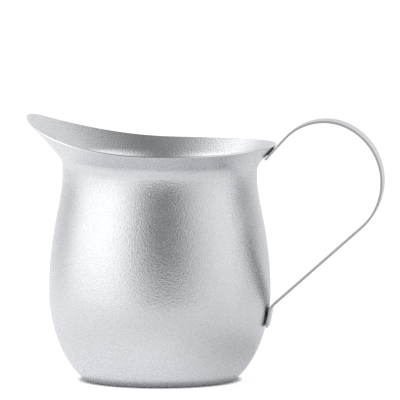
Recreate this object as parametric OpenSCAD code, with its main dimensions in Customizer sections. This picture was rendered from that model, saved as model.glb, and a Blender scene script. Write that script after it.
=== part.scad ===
// Small cream jug: a drawn and blasted stainless steel bell with a flared rim and a broad
// pouring lip, and a bent strip handle that is spot-welded to it at two flat tabs.
// Millimetres. Z is up, the base stands on Z = 0 and the bell's axis is the Z axis.
// The lip points to -X and the handle to +X.

/* [Bell] */
// Radius at which the straight lower wall would meet the table
base_radius = 20.1; // [18.5:0.1:22]
// Rounding between the base and the lower wall
base_round = 1.6; // [0.8:0.1:3]
// Slope of the wall where it leaves the base, up from the table
base_slope = 36.6; // [30:0.1:46]
// How far the wall keeps that slope before it bends up
base_fullness = 8.4; // [6:0.1:10]
// Radius of the belly, the widest round
belly_radius = 30.1; // [28:0.1:36]
// Height of the belly above the table
belly_height = 23.9; // [20:0.1:29]
// How far the belly keeps upright below its widest round
belly_fullness_low = 6.7; // [5:0.1:9]
// How far the belly keeps upright above its widest round
belly_fullness_high = 16.2; // [12:0.1:18]
// Radius of the neck, the narrowest round
neck_radius = 26.4; // [24:0.1:27.5]
// Height of the neck above the table
neck_height = 55.5; // [50:0.1:67]
// How far the neck keeps upright below its narrowest round
neck_fullness = 7; // [5:0.1:10]
// Thickness of the steel sheet
wall = 0.5; // [0.4:0.05:0.8]

/* [Rim and lip] */
// Height above the neck at which the flare starts, where neck line and flare line cross
flare_start = 2.8; // [2.4:0.1:4]
// How much higher the flare starts under the lip
flare_lip_rise = 1.7; // [0:0.1:2]
// Bend radius between the neck and the flare
flare_bend = 4.6; // [3:0.1:5.5]
// Radius of the rim at the sides and the handle
rim_radius = 31.6; // [30:0.1:34]
// Height of the rim above the neck at its lowest, at the sides
rim_rise = 7.5; // [7:0.1:9.5]
// Angle from the lip at which the rim is lowest
rim_low_angle = 105; // [95:1:120]
// How much higher the rim is at the handle than at its lowest
rim_back_rise = 1; // [0:0.1:3]
// How much higher the tip of the lip is than the rim's lowest
lip_rise = 8.5; // [5:0.1:10]
// How suddenly the rim climbs to the lip
lip_sharpness = 1.65; // [1:0.05:2.5]
// How much further out the tip of the lip is than the rim
lip_reach = 4.4; // [3:0.1:6]
// Extra width of the lip's two cheeks
lip_cheek = 0.5; // [0:0.1:1.2]
// Angle from the tip over which the lip keeps its full reach
lip_full_angle = 25; // [15:1:30]
// Angle from the tip at which the lip has run out into the round rim
lip_end_angle = 100; // [80:1:110]

/* [Handle] */
// Width of the strip
strip_width = 9; // [8:0.1:12]
// Thickness of the strip
strip_thickness = 0.63; // [0.5:0.01:0.9]
// Gap that the welds leave between a tab and the bell
tab_gap = 0.2; // [0.1:0.01:0.3]
// Distance up the flare from its bend to the upper tab's end
upper_tab_start = 1.5; // [0.8:0.1:2]
// Length of straight strip from the upper tab's end to the loop
upper_run = 7.8; // [7:0.1:10]
// Radius of the first, upper part of the loop
loop_radius = 14.5; // [12:0.1:17]
// Angle that the upper part of the loop turns through
loop_turn = 76; // [70:1:95]
// Radius of the second, lower part of the loop
loop_lower_radius = 16.6; // [12:0.1:18]
// Height of the lower tab's foot above the table
lower_tab_height = 14.9; // [12:0.1:17]
// Length of the lower tab
lower_tab_length = 5; // [4.4:0.1:6]
// Bend radius where the strip turns down into the lower tab
lower_bend = 1.8; // [1.4:0.1:4]

/* [Welds] */
// Diameter of a weld nugget
weld_diameter = 2.2; // [1.6:0.1:2.4]
// Distance between the two nuggets of a tab
weld_spacing = 3.6; // [3:0.1:5]

/* [Hidden] */

steel = [0.76, 0.76, 0.77];
weld_colour = [0.55, 0.55, 0.56];

// Facets round the bell, and steps along each stretch of its outline.
facets = 60;
facet_angle = 360 / facets;
corner_steps = 3;
lower_steps = 9;
upper_steps = 9;
bend_steps = 4;
flare_steps = 3;
edge_steps = 3;
arc_step = 3;
cut_depth = 1;
slope_step = 0.001;

// ---- curve helpers ----
function bezier(a, b, c, d, t) =
    pow(1 - t, 3) * a + 3 * pow(1 - t, 2) * t * b + 3 * (1 - t) * t * t * c + pow(t, 3) * d;
function unit(v) = v / norm(v);
function left_of(v) = [-v[1], v[0]];
function heading(angle) = [cos(angle), sin(angle)];
function clamp(x) = min(1, max(0, x));
function ease(t) = t * t * t * (t * (6 * t - 15) + 10);
function swell(t) = (1 - cos(180 * t)) / 2;

// ---- the rim, by the angle from the tip of the lip ----
function fold(angle) = abs((angle + 540) % 360 - 180);
function lip_share(a) = ease(clamp((lip_end_angle - a) / (lip_end_angle - lip_full_angle)));
function cheek_share(a) = a < 90 ? pow(sin(2 * a), 2) : 0;
function rim_out(a) = rim_radius + lip_reach * lip_share(a) + lip_cheek * cheek_share(a);
function rim_up(a) =
    neck_height + rim_rise
    + (a < rim_low_angle
        ? lip_rise * pow(swell((rim_low_angle - a) / rim_low_angle), lip_sharpness)
        : rim_back_rise * swell((a - rim_low_angle) / (180 - rim_low_angle)));
function rim_point(angle) = [rim_out(fold(angle)), rim_up(fold(angle))];

// ---- the bell's outline, as radius and height, outside first ----
base_corner = [base_radius, 0];
base_tangent = base_round * tan(base_slope / 2);
base_centre = [base_radius - base_tangent, base_round];
wall_start = base_corner + base_tangent * heading(base_slope);
belly = [belly_radius, belly_height];
neck = [neck_radius, neck_height];

function flare_corner(angle) =
    neck + [0, flare_start + flare_lip_rise * swell(clamp(1 - fold(angle) / rim_low_angle))];
function flare_direction(angle) = unit(rim_point(angle) - flare_corner(angle));
function flare_lean(angle) = atan2(flare_direction(angle)[1], flare_direction(angle)[0]);
function bend_tangent(angle) = flare_bend * tan((90 - flare_lean(angle)) / 2);
function bend_centre(angle) =
    flare_corner(angle) + [flare_bend, -bend_tangent(angle)];

outline_low = concat(
    [for (i = [1:corner_steps])
        base_centre + base_round * heading(-90 + base_slope * i / corner_steps)],
    [for (i = [1:lower_steps])
        bezier(wall_start, wall_start + base_fullness * heading(base_slope),
            belly - [0, belly_fullness_low], belly, i / lower_steps)],
    [for (i = [1:upper_steps])
        bezier(belly, belly + [0, belly_fullness_high],
            neck - [0, neck_fullness], neck, i / upper_steps)]
);
function outline_high(angle) = concat(
    [for (i = [0:bend_steps])
        bend_centre(angle)
        + flare_bend * heading(180 - (90 - flare_lean(angle)) * i / bend_steps)],
    [for (i = [1:flare_steps])
        let (bend_end = flare_corner(angle) + bend_tangent(angle) * flare_direction(angle))
        bend_end + (rim_point(angle) - bend_end) * i / flare_steps]
);
function outline(angle) = concat(outline_low, outline_high(angle));

// Inward normal at each point of an outline, from its neighbours.
function inward(path, i) =
    let (last = len(path) - 1)
    left_of(unit(path[min(i + 1, last)] - path[max(i - 1, 0)]));

// The closed section: bottom, outside, rounded rim edge, inside, inner floor.
function section(angle) =
    let (
        out = outline(angle),
        last = len(out) - 1,
        edge_in = inward(out, last),
        edge_up = [edge_in[1], -edge_in[0]],
        edge_middle = out[last] + wall / 2 * edge_in
    )
    concat(
        [[out[0][0], -cut_depth]],
        out,
        [for (i = [1:edge_steps])
            let (t = 180 * i / (edge_steps + 1))
            edge_middle - wall / 2 * cos(t) * edge_in + wall / 2 * sin(t) * edge_up],
        [for (i = [last:-1:0]) out[i] + wall * inward(out, i)],
        [[base_radius - base_tangent, wall]]
    );

function around(angle, p) = [-p[0] * cos(angle), -p[0] * sin(angle), p[1]];
rings = [for (k = [0:facets - 1]) section(k * facet_angle)];
ring_count = len(rings[0]);
function vertex(k, i) = (k % facets) * ring_count + i;

// Side skin between two neighbouring sections.
function strip_faces(k, from, to) = [for (i = [from:to - 1]) each [
    [vertex(k, i), vertex(k, i + 1), vertex(k + 1, i + 1)],
    [vertex(k, i), vertex(k + 1, i + 1), vertex(k + 1, i)]
]];

module jug_body() {
    points = concat(
        [for (k = [0:facets - 1]) each [for (p = rings[k]) around(k * facet_angle, p)]],
        [[0, 0, -cut_depth], [0, 0, wall]]
    );
    bottom_pole = facets * ring_count;
    floor_pole = bottom_pole + 1;
    faces = concat(
        [for (k = [0:facets - 1]) each strip_faces(k, 0, ring_count - 1)],
        [for (k = [0:facets - 1]) [bottom_pole, vertex(k, 0), vertex(k + 1, 0)]],
        [for (k = [0:facets - 1])
            [floor_pole, vertex(k + 1, ring_count - 1), vertex(k, ring_count - 1)]]
    );
    color(steel)
    difference() {
        polyhedron(points, faces);
        translate([0, 0, -2 * cut_depth])
            cylinder(h = 2 * cut_depth, r = 2 * base_radius);
    }
}

// ---- the handle's path in the X-Z plane, all of it worked out from the bell ----
stand_off = tab_gap + strip_thickness / 2;

// Upper tab: parallel to the flare at the handle side.
upper_heading = flare_lean(180);
upper_normal = -left_of(heading(upper_heading));
upper_start = flare_corner(180) + stand_off * upper_normal
    + (bend_tangent(180) + upper_tab_start) * heading(upper_heading);

// Lower tab: parallel to the bell's wall between the heights of its two ends.
function wall_at(t) = bezier(wall_start, wall_start + base_fullness * heading(base_slope),
    belly - [0, belly_fullness_low], belly, t);
function wall_share(height, low = 0, high = 1) =
    high - low < slope_step ? low
    : wall_at((low + high) / 2)[1] < height
        ? wall_share(height, (low + high) / 2, high)
        : wall_share(height, low, (low + high) / 2);
lower_share = wall_share(lower_tab_height + lower_tab_length / 2);
lower_touch = wall_at(lower_share);
lower_up = unit(wall_at(lower_share + slope_step) - wall_at(lower_share - slope_step));
lower_normal = -left_of(lower_up);
lower_middle = lower_touch + stand_off * lower_normal;
lower_end = lower_middle - lower_tab_length / 2 * lower_up;
lower_top = lower_middle + lower_tab_length / 2 * lower_up;
lower_heading = atan2(-lower_up[1], -lower_up[0]);

// The loop: two arcs that both turn down, then a straight run to the lower bend.
loop_start = upper_start + upper_run * heading(upper_heading);
loop_centre = loop_start + loop_radius * upper_normal;
loop_join_angle = upper_heading + 90 - loop_turn;
loop_join = loop_centre + loop_radius * heading(loop_join_angle);
loop_lower_centre = loop_join - loop_lower_radius * heading(loop_join_angle);
bend_middle = lower_top + lower_bend * lower_normal;
centre_line = bend_middle - loop_lower_centre;
run_tilt = asin((loop_lower_radius + lower_bend) / norm(centre_line));
run_normal_angle = atan2(centre_line[1], centre_line[0]) + 90 - run_tilt;
bend_start_angle = run_normal_angle + 180;
bend_end_angle = atan2(-lower_normal[1], -lower_normal[0]);

function steps_for(turn) = max(3, ceil(abs(turn) / arc_step));
function turn_points(centre, from, to) =
    [for (i = [0:steps_for(to - from)])
        let (angle = from + (to - from) * i / steps_for(to - from))
        [centre, angle]];
function wrap(angle) = angle > 180 ? angle - 360 : angle < -180 ? angle + 360 : angle;

// One face of the strip: side is 1 outside the loop and -1 inside it.
function strip_face(side) =
    let (offset = side * strip_thickness / 2)
    concat(
        [upper_start - offset * upper_normal],
        [for (p = turn_points(loop_centre, upper_heading + 90, loop_join_angle))
            p[0] + (loop_radius + offset) * heading(p[1])],
        [for (p = turn_points(loop_lower_centre, loop_join_angle,
                loop_join_angle + wrap(run_normal_angle - loop_join_angle)))
            p[0] + (loop_lower_radius + offset) * heading(p[1])],
        [for (p = turn_points(bend_middle, bend_start_angle,
                bend_start_angle + wrap(bend_end_angle - bend_start_angle)))
            p[0] + (lower_bend - offset) * heading(p[1])],
        [lower_end + offset * lower_normal]
    );

module handle_strip() {
    outside = strip_face(1);
    inside = strip_face(-1);
    color(steel)
    rotate([90, 0, 0])
        linear_extrude(strip_width, center = true)
            polygon(concat(outside, [for (i = [len(inside) - 1:-1:0]) inside[i]]));
}

// ---- welds ----
// The bell's outer skin near the handle, closed back to the axis, so that a nugget
// ends on exactly the facets that it is fused to.
seat_facets = 3;
module bell_seat(from, to) {
    first = facets / 2 - seat_facets;
    count = to - from + 1;
    points = concat(
        [for (k = [0:2 * seat_facets]) each [for (i = [from:to])
            around((first + k) * facet_angle, rings[first + k][i])]],
        [for (i = [from:to]) [0, 0, rings[facets / 2][i][1]]]
    );
    columns = 2 * seat_facets;
    axis = (columns + 1) * count;
    faces = concat(
        [for (k = [0:columns - 1]) each [for (i = [0:count - 2]) each [
            [k * count + i, k * count + i + 1, (k + 1) * count + i + 1],
            [k * count + i, (k + 1) * count + i + 1, (k + 1) * count + i]]]],
        [for (k = [0:columns - 1]) [axis, k * count, (k + 1) * count]],
        [for (k = [0:columns - 1])
            [axis + count - 1, (k + 2) * count - 1, (k + 1) * count - 1]],
        [for (i = [0:count - 2]) each [
            [axis + i, axis + i + 1, i + 1],
            [axis + i, i + 1, i],
            [axis + i, columns * count + i, columns * count + i + 1],
            [axis + i, columns * count + i + 1, axis + i + 1]]]
    );
    polyhedron(points, faces);
}

// Two nuggets side by side, from the tab's inner face into the bell's skin.
module nugget_pair(middle, normal, from, to) {
    root = middle - strip_thickness / 2 * normal;
    depth = tab_gap + wall;
    color(weld_colour)
    difference() {
        for (side = [-1, 1])
            translate([root[0], side * weld_spacing / 2, root[1]])
                rotate([0, 270 - atan2(normal[1], normal[0]), 0])
                    cylinder(h = depth, d = weld_diameter, $fn = 48);
        bell_seat(from, to);
    }
}

upper_weld = upper_start + weld_diameter * heading(upper_heading);
flare_first = 1 + len(outline_low) + bend_steps;
wall_first = 1 + corner_steps;

module upper_weld_nuggets() {
    nugget_pair(upper_weld, upper_normal, flare_first - 2, flare_first + flare_steps);
}

module lower_weld_nuggets() {
    nugget_pair(lower_middle, lower_normal, wall_first, wall_first + lower_steps);
}

jug_body();
handle_strip();
upper_weld_nuggets();
lower_weld_nuggets();
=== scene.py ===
from math import atan2, cos, hypot, pi, radians, sin, sqrt, tan

import bmesh
import bpy
from bpy.props import FloatProperty, FloatVectorProperty, IntProperty, PointerProperty
from bpy.types import Operator, Panel, PropertyGroup
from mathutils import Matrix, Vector
from mathutils.geometry import interpolate_bezier


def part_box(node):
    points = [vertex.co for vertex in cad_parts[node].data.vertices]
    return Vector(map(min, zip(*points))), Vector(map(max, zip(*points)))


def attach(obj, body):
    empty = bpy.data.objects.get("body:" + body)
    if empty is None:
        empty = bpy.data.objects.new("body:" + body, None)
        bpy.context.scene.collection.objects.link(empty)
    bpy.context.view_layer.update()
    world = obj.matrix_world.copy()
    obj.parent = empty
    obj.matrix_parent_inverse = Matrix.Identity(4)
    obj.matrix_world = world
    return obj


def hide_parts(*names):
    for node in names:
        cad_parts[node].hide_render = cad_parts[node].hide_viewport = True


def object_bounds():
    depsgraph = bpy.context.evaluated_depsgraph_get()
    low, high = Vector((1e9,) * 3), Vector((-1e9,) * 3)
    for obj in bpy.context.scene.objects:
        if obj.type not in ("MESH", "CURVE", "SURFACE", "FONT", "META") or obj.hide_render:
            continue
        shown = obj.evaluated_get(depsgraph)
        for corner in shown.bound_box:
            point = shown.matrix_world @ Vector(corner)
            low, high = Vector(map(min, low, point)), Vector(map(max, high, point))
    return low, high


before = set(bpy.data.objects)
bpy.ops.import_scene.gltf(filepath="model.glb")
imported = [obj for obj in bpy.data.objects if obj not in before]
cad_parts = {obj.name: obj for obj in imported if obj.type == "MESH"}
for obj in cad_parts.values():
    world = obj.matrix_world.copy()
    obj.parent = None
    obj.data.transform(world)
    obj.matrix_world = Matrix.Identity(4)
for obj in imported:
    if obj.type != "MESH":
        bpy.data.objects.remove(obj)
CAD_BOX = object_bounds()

bl_info = {
    "name": "Bell Cream Jug",
    "version": (1, 0, 0),
    "blender": (4, 5, 0),
    "location": "View3D > Sidebar > Cream Jug",
    "description": "Builds a blasted stainless steel cream jug with a strap handle, and its studio",
    "category": "Object",
}

MM = 0.001
STRAP_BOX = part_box("handle_strip")


# ---- Settings -------------------------------------------------------------------------


def linear(hex_colour):
    """An sRGB hex colour as linear red, green and blue."""
    shares = [int(hex_colour[i : i + 2], 16) / 255 for i in (1, 3, 5)]
    return [s / 12.92 if s <= 0.04045 else ((s + 0.055) / 1.055) ** 2.4 for s in shares]


def length(name, about, millimetres):
    """A length setting; its default is given in millimetres."""
    return FloatProperty(
        name=name, description=about, default=millimetres * MM, min=0, precision=5, unit="LENGTH"
    )


def angle(name, about, in_degrees):
    """An angle setting; its default is given in degrees."""
    return FloatProperty(
        name=name, description=about, default=radians(in_degrees), subtype="ANGLE", unit="ROTATION"
    )


def colour(name, about, hex_colour):
    """A colour setting; its default is given as sRGB hex."""
    return FloatVectorProperty(
        name=name,
        description=about,
        default=linear(hex_colour),
        size=3,
        min=0,
        max=1,
        subtype="COLOR",
    )


class BellSizes(PropertyGroup):
    base_radius: length("Base radius", "Where the straight lower wall would meet the table", 20.1)
    base_round: length("Base rounding", "Rounding between the base and the lower wall", 1.6)
    base_slope: angle("Base slope", "Slope of the wall where it leaves the base", 36.6)
    base_fullness: length("Base fullness", "How far the wall keeps the base slope", 8.4)
    belly_radius: length("Belly radius", "Radius of the widest round", 30.1)
    belly_height: length("Belly height", "Height of the widest round", 23.9)
    belly_low: length(
        "Belly fullness below", "How far the belly keeps upright below its widest", 6.7
    )
    belly_high: length(
        "Belly fullness above", "How far the belly keeps upright above its widest", 16.2
    )
    neck_radius: length("Neck radius", "Radius of the narrowest round", 26.4)
    neck_height: length("Neck height", "Height of the narrowest round", 55.5)
    neck_fullness: length(
        "Neck fullness", "How far the neck keeps upright below its narrowest", 7.0
    )
    wall: length("Wall", "Thickness of the steel sheet", 0.5)
    flare_start: length("Flare start", "Height above the neck at which the flare starts", 2.8)
    flare_lip_rise: length("Flare lift", "How much higher the flare starts under the lip", 1.7)
    flare_bend: length("Flare bend", "Bend radius between the neck and the flare", 4.6)
    rim_radius: length("Rim radius", "Radius of the rim away from the lip", 31.6)
    rim_rise: length("Rim rise", "Height of the rim above the neck at its lowest", 7.5)
    rim_low: angle("Rim low point", "Angle from the lip at which the rim is lowest", 105)
    rim_back_rise: length("Rim back rise", "How much higher the rim is at the handle", 1.0)
    lip_rise: length("Lip rise", "How much higher the lip's tip is than the rim's lowest", 8.5)
    lip_sharpness: FloatProperty(
        name="Lip sharpness",
        description="How suddenly the rim climbs to the lip",
        default=1.65,
        min=1,
    )
    lip_reach: length("Lip reach", "How much further out the lip's tip is than the rim", 4.4)
    lip_cheek: length("Lip cheeks", "Extra width of the lip's two cheeks", 0.5)
    lip_full: angle("Full lip", "Angle from the tip over which the lip keeps its full reach", 25)
    lip_end: angle("Lip end", "Angle from the tip at which the lip has run out", 100)
    columns: IntProperty(name="Columns", description="Faces round the bell", default=256, min=32)


class StrapSizes(PropertyGroup):
    width: length("Width", "Width of the strip", (STRAP_BOX[1].y - STRAP_BOX[0].y) / MM)
    thickness: length("Thickness", "Thickness of the strip", 0.63)
    tab_gap: length("Tab gap", "Gap that the welds leave between a tab and the bell", 0.2)
    upper_start: length("Upper tab start", "Distance up the flare from its bend to the tab", 1.5)
    upper_run: length("Upper run", "Straight strip from the tab's end to the loop", 7.8)
    loop_radius: length("Loop radius", "Radius of the upper part of the loop", 14.5)
    loop_turn: angle("Loop turn", "Angle that the upper part of the loop turns through", 76)
    lower_radius: length("Lower loop radius", "Radius of the lower part of the loop", 16.6)
    tab_height: length("Lower tab height", "Height of the lower tab's foot", 14.9)
    tab_length: length("Tab length", "Length of the lower tab", 5.0)
    lower_bend: length("Lower bend", "Bend radius where the strip turns into the tab", 1.8)
    corner: length("Corner radius", "Rounding of the tabs' corners", 0.7)
    edge: length("Edge rounding", "Rounding of the sheared edges", 0.07)
    weld_spacing: length("Weld spacing", "Distance between the two welds of a tab", 3.6)
    weld_mark: length("Weld mark", "Diameter of the hollow that a weld leaves", 2.8)
    weld_depth: length("Weld mark depth", "Depth of the hollow that a weld leaves", 0.07)


class Finishes(PropertyGroup):
    blasted: colour("Blasted steel", "Colour of the bell's blasted steel", "#E3E4E7")
    blasted_dark: colour(
        "Blasted hollows", "Colour of the blasted steel's small hollows", "#D3D5D9"
    )
    strip: colour("Strip steel", "Colour of the handle's rolled strip", "#E0E1E4")
    # Paler than the blasted steel: partly the ground edge's own colour, partly a painted highlight
    # on the rim and on the tabs' edges.
    pale_edge_with_painted_highlight: colour("Rim edge", "Colour of the bell's ground rim", "#F0F0F2")
    cut_edge: colour("Cut edge", "Colour of the strip's sheared edges", "#CDCED2")
    weld: colour("Weld", "Colour of the weld nuggets", "#8E8F93")
    table: colour("Table", "Colour of the matt white table", "#F7F7F7")


class StudioSizes(PropertyGroup):
    turn: angle("Turn", "How far the camera is turned round the jug", 5.4)
    tilt: angle("Tilt", "How far the camera looks down", 5.42)
    distance: length("Distance", "Distance of the camera from the jug's axis", 2180)
    aim_right: length("Aim right", "How far right of the axis the camera is aimed", 10.92)
    aim_up: length("Aim up", "How far above the base the camera is aimed", 48.72)
    lens: FloatProperty(name="Lens", description="Focal length in millimetres", default=722, min=1)
    table_radius: length("Table radius", "Radius of the pale table", 700)


class JugSettings(PropertyGroup):
    bell: PointerProperty(type=BellSizes, name="Bell", description="Sizes of the bell")
    strap: PointerProperty(type=StrapSizes, name="Strap", description="Sizes of the handle")
    finish: PointerProperty(type=Finishes, name="Finishes", description="Colours")
    studio: PointerProperty(type=StudioSizes, name="Studio", description="Camera and table")


# ---- Fixed sizes ----------------------------------------------------------------------

# Steps along the bell's outline: round the base, up to the belly and up to the neck, then round
# the flare's bend and up the flare.
OUTLINE_STEPS = (6, 30, 40)
BEND_STEPS = 10
FLARE_STEPS = 14
# Rings in the flat base, each so far inside the one before, that keep its shading flat.
BASE_RINGS = (0.8 * MM, 8 * MM)

# Steps across and along the handle's strip.
STRIP_CELLS = 40
UPPER_RUN_STEPS = 32
LOOP_STEPS = 38
LOWER_LOOP_STEPS = 56
STRAIGHT_RUN_STEPS = 40
LOWER_BEND_STEPS = 14
LOWER_TAB_STEPS = 20

# A point is part of a tab if it lies this near the tab's plane and this far along it.
TAB_PLANE = 0.3 * MM
TAB_REACH = 6 * MM
UPPER_WELD = 2.2 * MM  # From the upper tab's end to its welds.
HOLLOW_FULLNESS = 1.35  # Over 1 gives a weld's hollow a flat floor.

# Points nearer than this are one point, and heights nearer than this are one height.
MERGE = 0.001 * MM
SAME_HEIGHT = 0.1 * MM
# Points tried along the lower wall to find where the tab touches it.
WALL_SAMPLES = 4000

RIM_ROUNDING = 0.3  # As a share of the sheet's thickness.
SHARP_ANGLE = radians(50)  # Edges sharper than this are rounded.

# Place of the tabs' face among the strip's materials. The edge of a face has the next place, which
# on the tabs holds a painted highlight.
TAB_FACE = 2


# ---- Shape of the bell, as radius and height ------------------------------------------


def swell(share):
    """Goes from 0 to 1 as half a wave."""
    return (1 - cos(pi * min(1, max(0, share)))) / 2


def ease(share):
    """Goes from 0 to 1, with no kink at either end."""
    t = min(1, max(0, share))
    return t * t * t * (t * (6 * t - 15) + 10)


def heading(turn):
    """The unit vector at an angle."""
    return Vector((cos(turn), sin(turn)))


def left_of(v):
    """A vector turned a quarter turn to the left."""
    return Vector((-v.y, v.x))


def rim_point(bell, turn):
    """The rim's outer corner at an angle from the tip of the lip."""
    run_out = (bell.lip_end - turn) / (bell.lip_end - bell.lip_full)
    out = bell.rim_radius + bell.lip_reach * ease(run_out)
    if turn < pi / 2:
        out += bell.lip_cheek * sin(2 * turn) ** 2
    if turn < bell.rim_low:
        up = bell.lip_rise * swell((bell.rim_low - turn) / bell.rim_low) ** bell.lip_sharpness
    else:
        up = bell.rim_back_rise * swell((turn - bell.rim_low) / (pi - bell.rim_low))
    return Vector((out, bell.neck_height + bell.rim_rise + up))


def flare(bell, turn):
    """The corner between neck and flare at an angle from the lip, the flare's direction, and how
    far along both lines the bend reaches."""
    lift = bell.flare_start + bell.flare_lip_rise * swell(1 - turn / bell.rim_low)
    corner = Vector((bell.neck_radius, bell.neck_height + lift))
    along = (rim_point(bell, turn) - corner).normalized()
    return corner, along, bell.flare_bend * tan((pi / 2 - atan2(along.y, along.x)) / 2)


def flare_point(bell, turn, step):
    """One point of the flare's outline: first round the bend, then straight to the sheet's edge."""
    corner, along, reach = flare(bell, turn)
    if step <= BEND_STEPS:
        centre = corner + Vector((bell.flare_bend, -reach))
        opening = pi / 2 - atan2(along.y, along.x)
        return centre + bell.flare_bend * heading(pi - opening * step / BEND_STEPS)
    edge = rim_point(bell, turn) + bell.wall / 2 * along
    bend_end = corner + reach * along
    return bend_end.lerp(edge, (step - BEND_STEPS) / FLARE_STEPS)


def base_points(bell):
    """Where the base's rounding starts on the table, and where it ends on the lower wall."""
    tangent = bell.base_round * tan(bell.base_slope / 2)
    start = Vector((bell.base_radius - tangent, 0))
    return start, Vector((bell.base_radius, 0)) + tangent * heading(bell.base_slope)


def outline_knots(bell):
    """Bezier knots from the base to the neck: the handle before, the point, the handle after."""
    start, end = base_points(bell)
    pull = 4 / 3 * tan(bell.base_slope / 4) * bell.base_round
    slope = heading(bell.base_slope)
    belly = Vector((bell.belly_radius, bell.belly_height))
    neck = Vector((bell.neck_radius, bell.neck_height))
    up = Vector((0, 1))
    return [
        (start, start, start + Vector((pull, 0))),
        (end - pull * slope, end, end + bell.base_fullness * slope),
        (belly - bell.belly_low * up, belly, belly + bell.belly_high * up),
        (neck - bell.neck_fullness * up, neck, neck),
    ]


# ---- Mesh helpers ---------------------------------------------------------------------


def elements(result, kind):
    """The elements of one kind among an operator's new geometry."""
    return [g for g in result if isinstance(g, kind)]


def open_edges(bm, at_height):
    """The open edges whose ends both lie at a height."""
    return [
        e
        for e in bm.edges
        if e.is_boundary and all(abs(v.co.z - at_height) < SAME_HEIGHT for v in e.verts)
    ]


def finished(name, bm, materials, node):
    """Makes a piece of a bmesh: it rides on the root body and stands for a CAD node."""
    mesh = bpy.data.meshes.new(name)
    for face in bm.faces:
        face.smooth = True
    bm.to_mesh(mesh)
    bm.free()
    for material in materials:
        mesh.materials.append(material)
    piece = bpy.data.objects.new(name, mesh)
    bpy.context.scene.collection.objects.link(piece)
    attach(piece, "root")
    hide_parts(node)
    return piece


def add_modifier(piece, kind, **settings):
    """Adds a modifier with its settings."""
    modifier = piece.modifiers.new(kind.title(), kind)
    for name, value in settings.items():
        setattr(modifier, name, value)


def give_thickness(piece, thickness, offset, **rounding):
    """Thickens a sheet, with the next material on its cut edges, and rounds those edges."""
    add_modifier(
        piece,
        "SOLIDIFY",
        thickness=thickness,
        offset=offset,
        use_even_offset=True,
        use_rim=True,
        material_offset_rim=1,
    )
    add_modifier(piece, "BEVEL", limit_method="ANGLE", angle_limit=SHARP_ANGLE, **rounding)


# ---- Materials ------------------------------------------------------------------------

# A Mix node's sockets, which share their names: the share, the two values mixed and the result.
FACTOR = 0
COLOUR_A, COLOUR_B, COLOUR_OUT = 6, 7, 2
FLOAT_A, FLOAT_B, FLOAT_OUT = 2, 3, 0

# The part of a noise's range that holds nearly all of it.
NOISE_SPAN = {"From Min": 0.3, "From Max": 0.7}

# Real blasted hollows are 0.1 to 0.2 mm across and would not show, so these are coarser. The
# clouds are patches where the beads covered the steel unevenly.
BLAST_HOLLOW = 0.42 * MM
BLAST_DEPTH = 0.09 * MM
BLAST_CLOUD = 5 * MM
BLAST_ROUGHNESS = {"To Min": 0.2, "To Max": 0.27}

LINE_SHADE = 0.82  # How dark a line gets, as a share of the steel's colour.
LINE_STRENGTH = 0.4
ROUGHNESS_SPREAD = 0.05  # How far the roughness goes up and down along a line.

TABLE_TOOTH = 2 * MM
TABLE_TOOTH_DEPTH = 0.02 * MM
# A painted contact shadow: ambient occlusion darkens the glow from below over the last millimetre
# or so under a standing edge.
CONTACT_SHADOW_WIDTH = 1.6 * MM
CONTACT_SHADOW_SPAN = {"From Min": 0.35, "From Max": 1}
# The eye sees an even glow. The jug sees it fall off to the right, steeply close by and less
# further off, so that its right side is shaded. GLOW_CHANGE is where the one becomes the other.
GLOW_SEEN = 0.6
GLOW_NEAR = {"From Min": -5 * MM, "From Max": 58 * MM, "To Min": 0.46, "To Max": -0.02}
GLOW_FAR = {"From Min": -70 * MM, "From Max": 10 * MM, "To Min": 0.48, "To Max": 0.27}
GLOW_CHANGE = {"From Min": 36 * MM, "From Max": 64 * MM}


def add_node(tree, kind, inputs=None, links=None, **settings):
    """Adds a node with its settings, its sockets' values and its links."""
    node = tree.nodes.new(kind)
    for name, value in settings.items():
        setattr(node, name, value)
    for socket, value in (inputs or {}).items():
        node.inputs[socket].default_value = value
    for socket, source in (links or {}).items():
        tree.links.new(source, node.inputs[socket])
    return node


def new_material(name):
    """An empty node material, its tree and the place on the piece, for its patterns."""
    material = bpy.data.materials.new(name)
    material.use_nodes = True
    tree = material.node_tree
    tree.nodes.clear()
    return material, tree, add_node(tree, "ShaderNodeTexCoord").outputs["Object"]


def opaque(hue):
    """A colour with full opacity."""
    return (*hue, 1)


def finish_steel(tree, relief, strength, depth, tone, rough):
    """Ends a material as bare steel, with its relief, its colour and its roughness."""
    bump = add_node(
        tree,
        "ShaderNodeBump",
        inputs={"Strength": strength, "Distance": depth},
        links={"Height": relief.outputs["Fac"]},
    )
    skin = add_node(
        tree,
        "ShaderNodeBsdfPrincipled",
        inputs={"Metallic": 1},
        links={
            "Base Color": tone.outputs[COLOUR_OUT],
            "Roughness": rough.outputs["Result"],
            "Normal": bump.outputs["Normal"],
        },
    )
    add_node(tree, "ShaderNodeOutputMaterial", links={"Surface": skin.outputs["BSDF"]})


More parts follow.
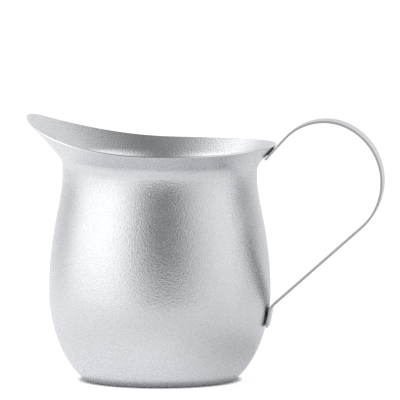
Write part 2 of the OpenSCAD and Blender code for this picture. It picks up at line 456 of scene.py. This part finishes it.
def blasted_steel(finish):
    """Stainless steel, bead blasted: the beads leave a matt skin of small hollows, which scatters
    each reflection into a soft band and sparkles where light and dark meet."""
    material, tree, place = new_material("stainless_steel_bead_blasted")
    hollows = add_node(
        tree,
        "ShaderNodeTexNoise",
        inputs={"Scale": 1 / BLAST_HOLLOW, "Detail": 2, "Roughness": 0.6},
        links={"Vector": place},
    )
    clouds = add_node(
        tree,
        "ShaderNodeTexNoise",
        inputs={"Scale": 1 / BLAST_CLOUD, "Detail": 3, "Roughness": 0.55},
        links={"Vector": place},
    )
    shade = add_node(
        tree,
        "ShaderNodeMapRange",
        inputs=NOISE_SPAN,
        links={"Value": hollows.outputs["Fac"]},
    )
    tone = add_node(
        tree,
        "ShaderNodeMix",
        inputs={COLOUR_A: opaque(finish.blasted_dark), COLOUR_B: opaque(finish.blasted)},
        links={FACTOR: shade.outputs["Result"]},
        data_type="RGBA",
    )
    rough = add_node(
        tree,
        "ShaderNodeMapRange",
        inputs=NOISE_SPAN | BLAST_ROUGHNESS,
        links={"Value": clouds.outputs["Fac"]},
    )
    finish_steel(tree, hollows, 1, BLAST_DEPTH, tone, rough)
    return material


def lined_steel(name, hue, along, line_width, line_length, roughness, depth):
    """Stainless steel with fine straight lines, which draw reflections out into soft streaks. The
    lines run along the named axes, and lines along none make an even mottle. Their width, length
    and depth are in millimetres."""
    material, tree, place = new_material(name)
    # One noise cell is a line: narrow across and long along.
    size = [line_length if axis in along else line_width for axis in "XYZ"]
    lines_place = add_node(
        tree,
        "ShaderNodeMapping",
        inputs={"Scale": [1 / (s * MM) for s in size]},
        links={"Vector": place},
    )
    lines = add_node(
        tree,
        "ShaderNodeTexNoise",
        inputs={"Scale": 1, "Detail": 3, "Roughness": 0.6},
        links={"Vector": lines_place.outputs["Vector"]},
    )
    tone = add_node(
        tree,
        "ShaderNodeMix",
        inputs={COLOUR_A: opaque([LINE_SHADE * c for c in hue]), COLOUR_B: opaque(hue)},
        links={FACTOR: lines.outputs["Fac"]},
        data_type="RGBA",
    )
    spread = {"To Min": roughness - ROUGHNESS_SPREAD, "To Max": roughness + ROUGHNESS_SPREAD}
    rough = add_node(
        tree,
        "ShaderNodeMapRange",
        inputs=NOISE_SPAN | spread,
        links={"Value": lines.outputs["Fac"]},
    )
    finish_steel(tree, lines, LINE_STRENGTH, depth * MM, tone, rough)
    return material


def table_white(finish):
    """Matt opal acrylic, lit softly from below: an even pale surface with a very faint tooth and
    hardly a shadow, save a painted contact shadow right under standing edges."""
    material, tree, place = new_material("acrylic_opal_matt")
    tooth = add_node(
        tree, "ShaderNodeTexNoise", inputs={"Scale": 1 / TABLE_TOOTH}, links={"Vector": place}
    )
    bump = add_node(
        tree,
        "ShaderNodeBump",
        inputs={"Strength": 0.1, "Distance": TABLE_TOOTH_DEPTH},
        links={"Height": tooth.outputs["Fac"]},
    )
    # Painted contact shadow: ambient occlusion near a standing edge darkens the glow.
    near = add_node(
        tree, "ShaderNodeAmbientOcclusion", inputs={"Distance": CONTACT_SHADOW_WIDTH}, samples=8
    )
    reach = add_node(
        tree, "ShaderNodeMapRange", inputs=CONTACT_SHADOW_SPAN, links={"Value": near.outputs["AO"]}
    )
    across = add_node(tree, "ShaderNodeSeparateXYZ", links={"Vector": place})
    glow_near = add_node(
        tree,
        "ShaderNodeMapRange",
        inputs=GLOW_NEAR,
        links={"Value": across.outputs["X"]},
        interpolation_type="SMOOTHSTEP",
    )
    glow_far = add_node(
        tree, "ShaderNodeMapRange", inputs=GLOW_FAR, links={"Value": across.outputs["X"]}
    )
    distance = add_node(tree, "ShaderNodeVectorMath", links={0: place}, operation="LENGTH")
    further = add_node(
        tree, "ShaderNodeMapRange", inputs=GLOW_CHANGE, links={"Value": distance.outputs["Value"]}
    )
    glow_mirrored = add_node(
        tree,
        "ShaderNodeMix",
        links={
            FACTOR: further.outputs["Result"],
            FLOAT_A: glow_near.outputs["Result"],
            FLOAT_B: glow_far.outputs["Result"],
        },
        data_type="FLOAT",
    )
    ray = add_node(tree, "ShaderNodeLightPath")
    level = add_node(
        tree,
        "ShaderNodeMix",
        inputs={FLOAT_B: GLOW_SEEN},
        links={FACTOR: ray.outputs["Is Camera Ray"], FLOAT_A: glow_mirrored.outputs[FLOAT_OUT]},
        data_type="FLOAT",
    )
    # The glow, with the painted contact shadow multiplied in.
    glow = add_node(
        tree,
        "ShaderNodeMath",
        links={0: reach.outputs["Result"], 1: level.outputs[FLOAT_OUT]},
        operation="MULTIPLY",
    )
    skin = add_node(
        tree,
        "ShaderNodeBsdfPrincipled",
        inputs={
            "Base Color": opaque(finish.table),
            "Roughness": 0.9,
            "Specular IOR Level": 0.1,
            "Emission Color": opaque(finish.table),
        },
        links={"Normal": bump.outputs["Normal"], "Emission Strength": glow.outputs["Value"]},
    )
    add_node(tree, "ShaderNodeOutputMaterial", links={"Surface": skin.outputs["BSDF"]})
    return material


# ---- Bell -----------------------------------------------------------------------------


def spin_bell(bell):
    """The bell's outer skin: a drawn outline spun round the axis, with the flare pulled up."""
    bm = bmesh.new()
    knots = outline_knots(bell)
    line = []
    for (_, here, after), (before, there, _), steps in zip(knots, knots[1:], OUTLINE_STEPS):
        points = interpolate_bezier(here, after, before, there, steps + 1)
        line += points[1:] if line else points
    last = bm.verts.new((-line[0][0], 0, line[0][1]))
    for point in line[1:]:
        last = bmesh.ops.extrude_vert_indiv(bm, verts=[last])["verts"][0]
        last.co = (-point[0], 0, point[1])
    bmesh.ops.spin(
        bm,
        geom=bm.verts[:] + bm.edges[:],
        axis=(0, 0, 1),
        cent=(0, 0, 0),
        angle=2 * pi,
        steps=bell.columns,
        use_merge=True,
    )
    bmesh.ops.remove_doubles(bm, verts=bm.verts, dist=MERGE)
    # The flare: the neck's edge is extruded ring by ring and each ring is set to its place.
    ring = open_edges(bm, max(v.co.z for v in bm.verts))
    for step in range(BEND_STEPS + FLARE_STEPS + 1):
        new = bmesh.ops.extrude_edge_only(bm, edges=ring)["geom"]
        ring = elements(new, bmesh.types.BMEdge)
        for vert in elements(new, bmesh.types.BMVert):
            outward = Vector((vert.co.x, vert.co.y)).normalized()
            place = flare_point(bell, abs(atan2(outward.y, -outward.x)), step)
            vert.co = (outward.x * place.x, outward.y * place.x, place.y)
    # The base: one flat disc, with its rings.
    disc = bmesh.ops.edgeloop_fill(bm, edges=open_edges(bm, 0))["faces"]
    for inset in BASE_RINGS:
        bmesh.ops.inset_region(bm, faces=disc, thickness=inset, use_even_offset=True)
    # The skin is open at the mouth, so the base's normal tells whether it faces outwards.
    bmesh.ops.recalc_face_normals(bm, faces=bm.faces)
    if disc[0].normal.z > 0:
        bmesh.ops.reverse_faces(bm, faces=bm.faces)
    return bm


class JUG_OT_bell(Operator):
    """Spins the bell, pulls its flare and lip, and gives the sheet its thickness and ground rim"""

    bl_idname = "jug.bell"
    bl_label = "Make the bell"

    def execute(self, context):
        jug = context.scene.cream_jug
        bell, finish = jug.bell, jug.finish
        skin = blasted_steel(finish)
        # Ground across the sheet's thickness, which leaves a bright line round the mouth; the paler
        # colour partly paints that line as a highlight.
        rim = lined_steel(
            "stainless_steel_ground_edge_and_painted_highlight",
            finish.pale_edge_with_painted_highlight,
            along="Z",
            line_width=0.12,
            line_length=0.5,
            roughness=0.25,
            depth=0.004,
        )
        piece = finished("jug_bell", spin_bell(bell), [skin, rim], "jug_body")
        give_thickness(piece, bell.wall, offset=-1, width=RIM_ROUNDING * bell.wall, segments=4)
        return {"FINISHED"}


# ---- Handle ---------------------------------------------------------------------------


def in_space(point):
    """A point of the handle's side view, in space."""
    return Vector((point.x, 0, point.y))


def strap_path(bell, strap):
    """The points, directions and centres of the strip's middle line, as x and height."""
    path = {}
    stand_off = strap.tab_gap + strap.thickness / 2
    corner, along, reach = flare(bell, pi)
    outward = -left_of(along)
    path["upper_foot"] = corner + stand_off * outward + (reach + strap.upper_start) * along
    path["upper_along"], path["upper_out"] = along, outward
    loop_start = path["upper_foot"] + strap.upper_run * along
    path["loop_centre"] = loop_start + strap.loop_radius * outward
    upright = atan2(along.y, along.x) + pi / 2
    join = heading(upright - strap.loop_turn)
    loop_join = path["loop_centre"] + strap.loop_radius * join
    path["lower_centre"] = loop_join - strap.lower_radius * join
    # The lower tab lies along the wall at half its length.
    knots = outline_knots(bell)
    wall = interpolate_bezier(knots[1][1], knots[1][2], knots[2][0], knots[2][1], WALL_SAMPLES + 1)
    middle = strap.tab_height + strap.tab_length / 2
    at = min(range(1, WALL_SAMPLES), key=lambda i: abs(wall[i][1] - middle))
    up = (wall[at + 1] - wall[at - 1]).normalized()
    out = -left_of(up)
    path["lower_middle"] = wall[at] + stand_off * out
    path["lower_along"], path["lower_out"] = up, out
    # The straight run touches the loop on its outside and the lower bend on its inside.
    bend = path["lower_middle"] + strap.tab_length / 2 * up + strap.lower_bend * out
    across = bend - path["lower_centre"]
    radii = strap.lower_radius + strap.lower_bend
    tilt = atan2(radii, sqrt(across.length_squared - radii**2))
    run = atan2(across.y, across.x) + pi / 2 - tilt
    path["bend_centre"], path["run_out"] = bend, heading(run)
    path["lower_turn"] = upright - strap.loop_turn - run
    path["bend_turn"] = (atan2(-out.y, -out.x) - (run + pi)) % (2 * pi)
    return path


def draw_on(bm, row, by, steps):
    """Draws the strip straight on from its last row."""
    for _ in range(steps):
        new = bmesh.ops.extrude_edge_only(bm, edges=elements(row, bmesh.types.BMEdge))["geom"]
        verts = elements(new, bmesh.types.BMVert)
        row = verts + elements(new, bmesh.types.BMEdge)
        bmesh.ops.translate(bm, vec=in_space(by) / steps, verts=verts)
    return row


def bend_on(bm, row, centre, by, steps):
    """Bends the strip on from its last row, round a centre."""
    return bmesh.ops.spin(
        bm,
        geom=row,
        cent=in_space(centre),
        axis=(0, 1, 0),
        angle=by,
        steps=steps,
        use_merge=False,
    )["geom_last"]


def place_on_tab(point, foot, along, outward):
    """How far a point lies along a tab from its foot, and how far off the tab's plane."""
    from_foot = Vector((point.x, point.z)) - foot
    return from_foot.dot(along), abs(from_foot.dot(outward))


def shape_tab(bm, strap, foot, along, outward, weld_at):
    """Gives a tab its own material, round corners at its foot and its welds' two hollows."""
    for patch in bm.faces:
        reach, stray = place_on_tab(patch.calc_center_median(), foot, along, outward)
        if stray < TAB_PLANE and 0 < reach < strap.tab_length:
            patch.material_index = TAB_FACE
    for vert in bm.verts:
        reach, stray = place_on_tab(vert.co, foot, along, outward)
        if stray > TAB_PLANE or not -SAME_HEIGHT <= reach <= TAB_REACH:
            continue
        if reach < strap.corner:
            cut = strap.corner - sqrt(max(0, strap.corner**2 - (strap.corner - reach) ** 2))
            vert.co.y *= 1 - cut / (strap.width / 2)
        for weld_side in (-1, 1):
            off = hypot(reach - weld_at, vert.co.y - weld_side * strap.weld_spacing / 2)
            hollow = swell(HOLLOW_FULLNESS * (1 - off / (strap.weld_mark / 2)))
            vert.co -= in_space(outward) * (strap.weld_depth * hollow)


def bend_strap(bell, strap):
    """The handle's middle sheet: a straight edge drawn along the tab, spun through the two arcs
    of the loop, drawn down the straight run, bent back and drawn along the lower tab."""
    path = strap_path(bell, strap)
    bm = bmesh.new()
    start = in_space(path["upper_foot"])
    side = Vector((0, strap.width / 2, 0))
    edge = bm.edges.new([bm.verts.new(start - side), bm.verts.new(start + side)])
    bmesh.ops.subdivide_edges(bm, edges=[edge], cuts=STRIP_CELLS - 1)
    row = bm.verts[:] + bm.edges[:]
    row = draw_on(bm, row, strap.upper_run * path["upper_along"], UPPER_RUN_STEPS)
    row = bend_on(bm, row, path["loop_centre"], strap.loop_turn, LOOP_STEPS)
    row = bend_on(bm, row, path["lower_centre"], path["lower_turn"], LOWER_LOOP_STEPS)
    run_start = path["lower_centre"] + strap.lower_radius * path["run_out"]
    run_end = path["bend_centre"] - strap.lower_bend * path["run_out"]
    row = draw_on(bm, row, run_end - run_start, STRAIGHT_RUN_STEPS)
    row = bend_on(bm, row, path["bend_centre"], -path["bend_turn"], LOWER_BEND_STEPS)
    draw_on(bm, row, -strap.tab_length * path["lower_along"], LOWER_TAB_STEPS)

    half = strap.tab_length / 2
    lower_foot = path["lower_middle"] - half * path["lower_along"]
    shape_tab(bm, strap, path["upper_foot"], path["upper_along"], path["upper_out"], UPPER_WELD)
    shape_tab(bm, strap, lower_foot, path["lower_along"], path["lower_out"], half)
    bmesh.ops.recalc_face_normals(bm, faces=bm.faces)
    return bm


class JUG_OT_strap(Operator):
    """Bends the strip handle with its loop, straight run and two welded tabs"""

    bl_idname = "jug.strap"
    bl_label = "Bend the handle"

    def execute(self, context):
        jug = context.scene.cream_jug
        strap, finish = jug.strap, jug.finish
        # Rolled, which leaves a satin face with fine lines along the strip.
        face = lined_steel(
            "stainless_steel_satin_strip",
            finish.strip,
            along="XZ",
            line_width=0.15,
            line_length=12,
            roughness=0.3,
            depth=0.006,
        )
        # Sheared from the sheet and left so: a duller edge, with lines across its thickness.
        sheared = {"along": "Y", "line_width": 0.3, "line_length": 1.5, "depth": 0.012}
        edge = lined_steel(
            "stainless_steel_sheared_edge", finish.cut_edge, roughness=0.42, **sheared
        )
        # A paler and quite matt edge round each tab: a painted highlight that makes the tabs' edges
        # read bright.
        tab_edge_highlight = lined_steel(
            "stainless_steel_tab_edge_painted_highlight", finish.pale_edge_with_painted_highlight, roughness=0.75, **sheared
        )
        sheet = bend_strap(jug.bell, strap)
        materials = [face, edge, face, tab_edge_highlight]
        piece = finished("jug_strap", sheet, materials, "handle_strip")
        give_thickness(
            piece, strap.thickness, offset=0, width=strap.edge, segments=2, harden_normals=True
        )
        return {"FINISHED"}


class JUG_OT_welds(Operator):
    """Gives the four weld nuggets their dull fused steel"""

    bl_idname = "jug.welds"
    bl_label = "Finish the welds"

    def execute(self, context):
        finish = context.scene.cream_jug.finish
        # Melted and set again, which leaves a dark, dull and uneven skin.
        fused = lined_steel(
            "stainless_steel_fused_weld",
            finish.weld,
            along="",
            line_width=0.25,
            line_length=0.25,
            roughness=0.55,
            depth=0.02,
        )
        for name in ("upper_weld_nuggets", "lower_weld_nuggets"):
            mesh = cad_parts[name].data
            mesh.materials.clear()
            mesh.materials.append(fused)
        return {"FINISHED"}


# ---- Studio ---------------------------------------------------------------------------

TABLE_SIDES = 96
SIGHT = 100  # How far the camera sees, in metres.

# The soft panels that the steel mirrors: brightness round the horizon by bearing from the front,
# in degrees, and overhead from left to right. A ramp holds up to 1, so PEAK scales it.
PEAK = 3
HORIZON = (
    (-180, 0.88), (-165, 0.93), (-140, 0.88), (-125, 0.72), (-112, 0.62), (-101, 1.3),
    (-60, 1.5), (-38, 1.37), (-22, 0.74), (-10, 0.4), (-3, 0.31), (4, 0.22),
    (14, 0.18), (26, 0.24), (38, 0.6), (52, 0.79), (70, 0.94), (92, 1.1),
    (104, 0.88), (118, 0.43), (130, 0.46), (145, 0.79), (165, 0.93), (180, 0.88),
)  # fmt: skip
ROOF = (
    (-1, 0.9), (-0.88, 1.3), (-0.75, 1.8), (-0.6, 1.6), (-0.48, 1.0),
    (-0.35, 0.6), (-0.2, 0.35), (0, 0.22), (0.15, 0.22), (0.3, 0.38),
    (0.42, 0.65), (0.55, 1.2), (0.7, 1.35), (0.85, 0.9), (1, 0.75),
)  # fmt: skip
# The roof takes over from the horizon between these heights, 1 being straight up.
ROOF_SPAN = {"From Min": 0.42, "From Max": 0.64}
# The plain room: as it lights the table, and as it is seen behind it.
PLAIN_LEVELS = {"To Min": 0.62, "To Max": 1.1}


def panel_light(tree, stops, position):
    """A row of soft panels, as a ramp of brightness."""
    ramp = add_node(tree, "ShaderNodeValToRGB", links={"Fac": position})
    ramp.color_ramp.interpolation = "B_SPLINE"
    points = ramp.color_ramp.elements
    while len(points) > 1:
        points.remove(points[0])
    for count, (place, level) in enumerate(stops):
        stop = points.new(place) if count else points[0]
        stop.position = place
        stop.color = opaque([level / PEAK] * 3)
    return ramp.outputs["Color"]


def pale_table(jug):
    """The round table that the jug stands on."""
    bm = bmesh.new()
    bmesh.ops.create_circle(
        bm, cap_ends=True, segments=TABLE_SIDES, radius=jug.studio.table_radius
    )
    mesh = bpy.data.meshes.new("table_top")
    bm.to_mesh(mesh)
    bm.free()
    mesh.materials.append(table_white(jug.finish))
    table = bpy.data.objects.new("table_top", mesh)
    table.location.z = CAD_BOX[0].z
    bpy.context.scene.collection.objects.link(table)


def soft_room():
    """A world that is plain white to the eye and to dull surfaces, and soft panels to steel."""
    world = bpy.data.worlds.new("soft_room")
    world.use_nodes = True
    tree = world.node_tree
    tree.nodes.clear()
    toward = add_node(tree, "ShaderNodeTexCoord").outputs["Generated"]
    split = add_node(tree, "ShaderNodeSeparateXYZ", links={"Vector": toward})
    front = add_node(
        tree,
        "ShaderNodeMath",
        inputs={1: -1},
        links={0: split.outputs["Y"]},
        operation="MULTIPLY",
    )
    bearing = add_node(
        tree,
        "ShaderNodeMath",
        links={0: split.outputs["X"], 1: front.outputs["Value"]},
        operation="ARCTAN2",
    )
    round_share = add_node(
        tree,
        "ShaderNodeMapRange",
        inputs={"From Min": -pi, "From Max": pi},
        links={"Value": bearing.outputs["Value"]},
    )
    across_share = add_node(
        tree,
        "ShaderNodeMapRange",
        inputs={"From Min": -1, "From Max": 1},
        links={"Value": split.outputs["X"]},
    )
    ring = [(0.5 + degrees / 360, level) for degrees, level in HORIZON]
    roof = [(0.5 + across / 2, level) for across, level in ROOF]
    height = add_node(
        tree,
        "ShaderNodeMapRange",
        inputs=ROOF_SPAN,
        links={"Value": split.outputs["Z"]},
        interpolation_type="SMOOTHSTEP",
    )
    room = add_node(
        tree,
        "ShaderNodeMix",
        links={
            FACTOR: height.outputs["Result"],
            COLOUR_A: panel_light(tree, ring, round_share.outputs["Result"]),
            COLOUR_B: panel_light(tree, roof, across_share.outputs["Result"]),
        },
        data_type="RGBA",
    )
    mirrored = add_node(
        tree,
        "ShaderNodeBackground",
        inputs={"Strength": PEAK},
        links={"Color": room.outputs[COLOUR_OUT]},
    )
    ray = add_node(tree, "ShaderNodeLightPath")
    plain_level = add_node(
        tree,
        "ShaderNodeMapRange",
        inputs=PLAIN_LEVELS,
        links={"Value": ray.outputs["Is Camera Ray"]},
    )
    plain = add_node(
        tree,
        "ShaderNodeBackground",
        inputs={"Color": opaque((1, 1, 1))},
        links={"Strength": plain_level.outputs["Result"]},
    )
    mixed = add_node(
        tree,
        "ShaderNodeMixShader",
        links={
            FACTOR: ray.outputs["Is Glossy Ray"],
            1: plain.outputs["Background"],
            2: mirrored.outputs["Background"],
        },
    )
    add_node(tree, "ShaderNodeOutputWorld", links={"Surface": mixed.outputs["Shader"]})
    return world


def set_camera(scene, studio):
    """The camera looks across the table, with its aim in its own right and up."""
    camera = bpy.data.objects.new("camera", bpy.data.cameras.new("camera"))
    scene.collection.objects.link(camera)
    turn, tilt = studio.turn, studio.tilt
    back = Vector((sin(turn) * cos(tilt), -cos(turn) * cos(tilt), sin(tilt)))
    right = Vector((cos(turn), sin(turn), 0))
    up = back.cross(right)
    camera.location = right * studio.aim_right + up * studio.aim_up + back * studio.distance
    camera.rotation_euler = (pi / 2 - tilt, 0, turn)
    camera.data.lens = studio.lens
    camera.data.clip_end = SIGHT
    scene.camera = camera


class JUG_OT_studio(Operator):
    """Sets the pale table, the soft panels of light round it and the camera"""

    bl_idname = "jug.studio"
    bl_label = "Set the studio"

    def execute(self, context):
        scene = context.scene
        jug = scene.cream_jug
        pale_table(jug)
        scene.world = soft_room()
        set_camera(scene, jug.studio)
        scene.view_settings.view_transform = "Standard"
        # Denoising would smooth the blasted grain away.
        scene.cycles.use_denoising = False
        return {"FINISHED"}


# ---- Add-on ---------------------------------------------------------------------------


class JUG_PT_sidebar(Panel):
    """The jug's sizes, colours and buttons"""

    bl_idname = "JUG_PT_sidebar"
    bl_label = "Cream jug"
    bl_space_type = "VIEW_3D"
    bl_region_type = "UI"
    bl_category = "Cream Jug"

    def draw(self, context):
        jug = context.scene.cream_jug
        groups = {
            "Bell": jug.bell,
            "Strap": jug.strap,
            "Finishes": jug.finish,
            "Studio": jug.studio,
        }
        for title, group in groups.items():
            box = self.layout.box()
            box.label(text=title)
            for name in group.__annotations__:
                box.prop(group, name)
        for operator in (JUG_OT_bell, JUG_OT_strap, JUG_OT_welds, JUG_OT_studio):
            self.layout.operator(operator.bl_idname)


CLASSES = (
    BellSizes,
    StrapSizes,
    Finishes,
    StudioSizes,
    JugSettings,
    JUG_OT_bell,
    JUG_OT_strap,
    JUG_OT_welds,
    JUG_OT_studio,
    JUG_PT_sidebar,
)


def register():
    for cls in CLASSES:
        bpy.utils.register_class(cls)
    bpy.types.Scene.cream_jug = PointerProperty(type=JugSettings)


def unregister():
    del bpy.types.Scene.cream_jug
    for cls in reversed(CLASSES):
        bpy.utils.unregister_class(cls)


def main():
    register()
    bpy.ops.jug.bell()
    bpy.ops.jug.strap()
    bpy.ops.jug.welds()
    bpy.ops.jug.studio()


if __name__ == "__main__":
    main()
